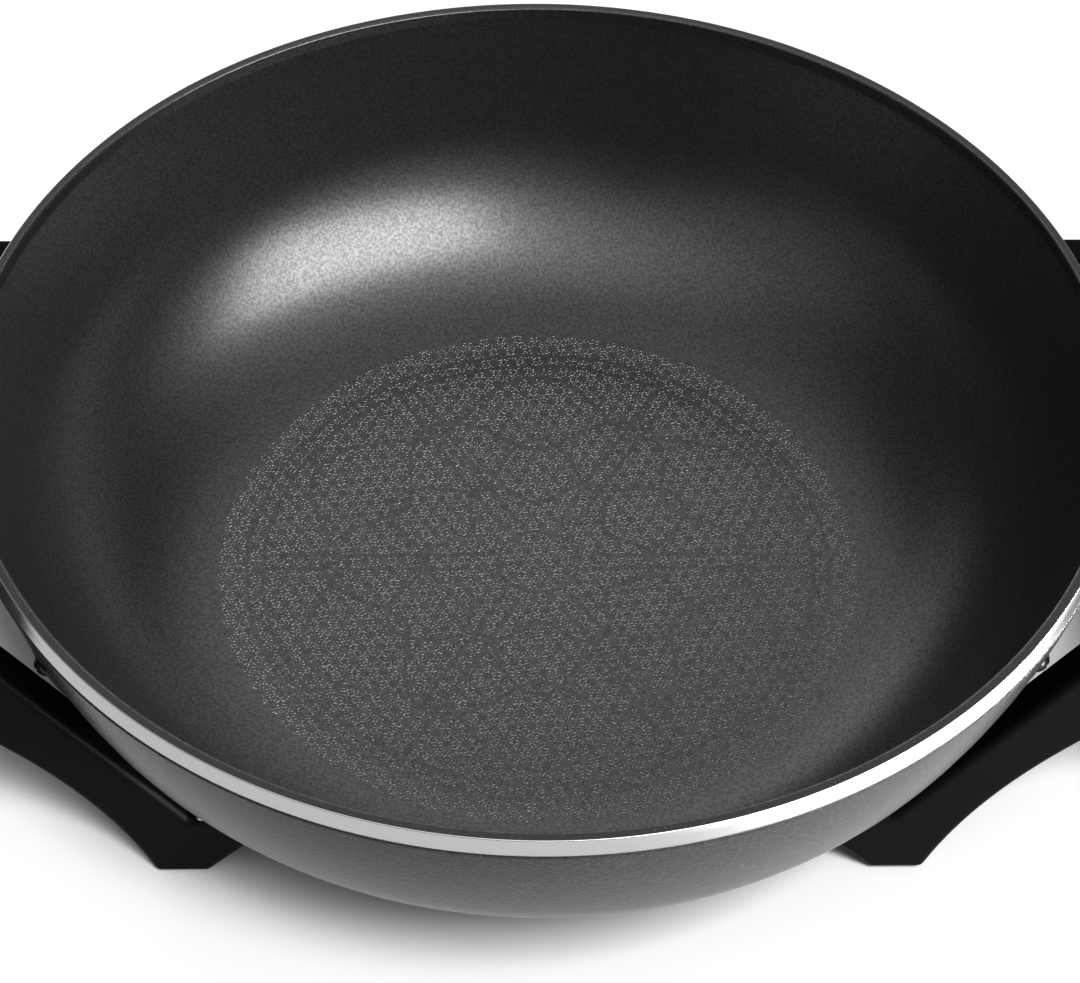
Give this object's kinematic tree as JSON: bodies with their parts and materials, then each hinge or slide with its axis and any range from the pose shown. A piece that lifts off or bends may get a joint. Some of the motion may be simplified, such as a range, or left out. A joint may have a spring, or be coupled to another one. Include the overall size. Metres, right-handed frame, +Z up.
{
  "type": "electric wok",
  "caption": "Deep cast round pan on moulded legs that rise into two side handles, heated from beneath, with a plug-in temperature control and turning dial.",
  "frame": {"origin": "on the floor under the bowl's axis, level with the undersides of the foot pads", "axes": "+Z up, handles on -X and +X, control under the +X handle, front towards -Y"},
  "size_m": [0.428, 0.3332, 0.132],
  "materials": {
    "bowl_coating": "cast aluminium, dark grey non-stick and hammered outer coat, bare machined rim band",
    "element_sheath": "dull drawn sheath",
    "plated_contacts": "nickel plated",
    "ceramic": "unglazed",
    "probe_metal": "drawn",
    "cover_steel": "matt heat-resistant paint",
    "screw_steel": "zinc plated",
    "dark_screws": "blackened",
    "black_moulding": "fine moulded satin",
    "foot_rubber": "matt",
    "strap_steel": "bright rolled sheet",
    "clip_steel": "black painted sheet",
    "control_moulding": "fine moulded satin",
    "dial_moulding": "satin with pale printed scale",
    "lamp_glass": "clear",
    "lens_red": "clear tinted"
  },
  "bodies": {
    "base": {"bowl": "bowl_coating", "heating_element": "element_sheath", "terminal_pins": "plated_contacts", "pin_insulators": "ceramic", "probe_sleeve": "probe_metal", "element_cover": "cover_steel", "cover_screws": "screw_steel", "control_socket": "black_moulding", "socket_screws": "screw_steel", "right_front_leg": "black_moulding", "right_front_foot_pad": "foot_rubber", "right_front_leg_plate": "strap_steel", "right_front_wall_clip": "clip_steel", "left_front_leg": "black_moulding", "left_front_foot_pad": "foot_rubber", "left_front_leg_plate": "strap_steel", "left_front_wall_clip": "clip_steel", "right_rear_leg": "black_moulding", "right_rear_foot_pad": "foot_rubber", "right_rear_leg_plate": "strap_steel", "right_rear_wall_clip": "clip_steel", "left_rear_leg": "black_moulding", "left_rear_foot_pad": "foot_rubber", "left_rear_leg_plate": "strap_steel", "left_rear_wall_clip": "clip_steel", "leg_screws": "screw_steel", "wall_screws": "dark_screws", "clip_screws": "screw_steel", "right_grip": "black_moulding", "right_grip_insert": "black_moulding", "left_grip": "black_moulding", "left_grip_insert": "black_moulding", "grip_screws": "screw_steel"},
    "control": {"control_upper_case": "control_moulding", "control_lower_case": "control_moulding", "control_screws": "screw_steel", "contact_block": "ceramic", "contact_sleeves": "plated_contacts", "probe_rod": "probe_metal", "thermostat_frame": "strap_steel", "contact_leaves": "plated_contacts", "pilot_lamp": "lamp_glass", "lamp_lens": "lens_red", "cord_bush": "foot_rubber"},
    "dial": {"dial": "dial_moulding", "dial_spindle": "probe_metal", "dial_cam": "dial_moulding"}
  },
  "joints": [
    {"name": "control_unplug", "type": "slide", "parent": "base", "child": "control", "axis": [1, 0, 0], "range_m": [0, 0.09]},
    {"name": "dial_turn", "type": "hinge", "parent": "control", "child": "dial", "pos_m": [0.15, 0, 0.024], "axis": [-1, 0, 0], "range_deg": [0, 270]}
  ]
}
